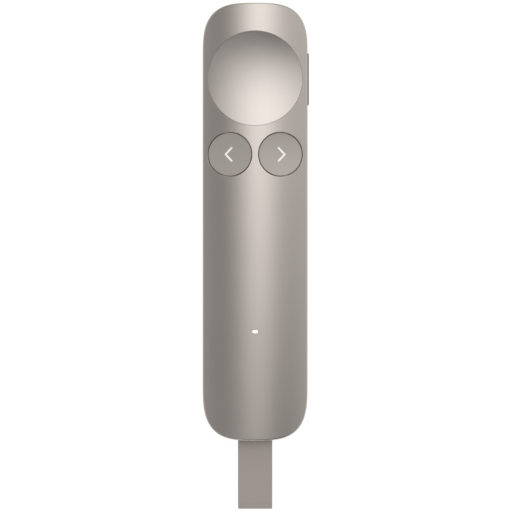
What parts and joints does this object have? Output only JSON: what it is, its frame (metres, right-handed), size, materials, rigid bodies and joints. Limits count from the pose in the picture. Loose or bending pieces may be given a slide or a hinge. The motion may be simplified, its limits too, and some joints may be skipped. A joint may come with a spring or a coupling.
{
  "type": "presentation clicker",
  "caption": "Slim wireless presentation clicker with a concave pointer button, page buttons, a side key and a stowed receiver on a strap loop.",
  "frame": {"origin": "the middle of the flat back, on the surface that the clicker lies on", "axes": "+Z out of the front face with the buttons, +Y towards the nose, +X towards the side key"},
  "size_m": [0.0319, 0.1521, 0.013],
  "materials": {
    "shell_metal": "satin, fine metallic grain",
    "cover_plastic": "fine moulded grain",
    "cap_satin": "satin metallic lacquer",
    "key_plastic": "satin",
    "chevron_plastic": "smooth",
    "chassis_plastic": "moulded",
    "board_laminate": "solder mask",
    "chip_resin": "matt",
    "shield_steel": "plain",
    "antenna_ceramic": "plain",
    "plunger_plastic": "moulded",
    "switch_plastic": "moulded",
    "lamp_resin": "clear resin",
    "light_pipe_clear": "lit white at its window",
    "cell_foil": "foil pouch",
    "pad_foam": "foam tape",
    "lead_red": "wire jacket",
    "lead_black": "wire jacket",
    "rotor_copper": "plain",
    "laser_brass": "turned",
    "laser_glass": "polished",
    "window_smoked": "smoked, polished",
    "connector_plastic": "moulded",
    "receiver_plastic": "fine moulded grain",
    "strap_rubber": "matt silicone"
  },
  "bodies": {
    "handset": {"front_shell": "shell_metal", "back_cover": "cover_plastic", "chassis": "chassis_plastic", "main_board": "board_laminate", "radio_chip": "chip_resin", "radio_shield": "shield_steel", "motion_sensor": "chip_resin", "charging_chip": "chip_resin", "antenna": "antenna_ceramic", "pointer_switch": "switch_plastic", "back_switch": "switch_plastic", "next_switch": "switch_plastic", "side_switch": "switch_plastic", "status_lamp": "lamp_resin", "light_pipe": "light_pipe_clear", "battery_cell": "cell_foil", "battery_pad": "pad_foam", "battery_safety_board": "board_laminate", "battery_connector": "plunger_plastic", "battery_lead_red": "lead_red", "battery_lead_black": "lead_black", "motor_case": "shield_steel", "motor_shaft": "shield_steel", "laser_barrel": "laser_brass", "laser_diode": "laser_brass", "laser_lens": "laser_glass", "laser_window": "window_smoked", "port_shell": "shield_steel", "port_tongue": "connector_plastic", "receiver_dock": "chassis_plastic", "chassis_screws": "shield_steel"},
    "pointer_button": {"pointer_button": "cap_satin", "pointer_plunger": "plunger_plastic"},
    "back_page_button": {"back_button": "cap_satin", "back_chevron": "chevron_plastic", "back_plunger": "plunger_plastic"},
    "next_page_button": {"next_button": "cap_satin", "next_chevron": "chevron_plastic", "next_plunger": "plunger_plastic"},
    "side_key": {"side_key": "key_plastic", "side_plunger": "plunger_plastic"},
    "motor_rotor": {"motor_rotor": "rotor_copper"},
    "receiver": {"receiver_top": "receiver_plastic", "receiver_bottom": "receiver_plastic", "receiver_board": "board_laminate", "receiver_chip": "chip_resin", "plug_shell": "shield_steel", "plug_core": "connector_plastic", "strap_pin": "shield_steel", "strap_loop": "strap_rubber"}
  },
  "joints": [
    {"name": "pointer_press", "type": "slide", "parent": "handset", "child": "pointer_button", "axis": [0, 0, -1], "range_m": [0, 0.0004], "stiffness_N_per_m": 3000},
    {"name": "back_page_press", "type": "slide", "parent": "handset", "child": "back_page_button", "axis": [0, 0, -1], "range_m": [0, 0.00035], "stiffness_N_per_m": 3000},
    {"name": "next_page_press", "type": "slide", "parent": "handset", "child": "next_page_button", "axis": [0, 0, -1], "range_m": [0, 0.00035], "stiffness_N_per_m": 3000},
    {"name": "side_key_press", "type": "slide", "parent": "handset", "child": "side_key", "axis": [-1, 0, 0], "range_m": [0, 0.0003], "stiffness_N_per_m": 3000},
    {"name": "motor_spin", "type": "hinge", "parent": "handset", "child": "motor_rotor", "pos_m": [0, -0.0123, 0.0075], "axis": [0, 0, 1], "continuous": true},
    {"name": "receiver_pull", "type": "slide", "parent": "handset", "child": "receiver", "axis": [0, -1, 0], "range_m": [0, 0.04]}
  ]
}
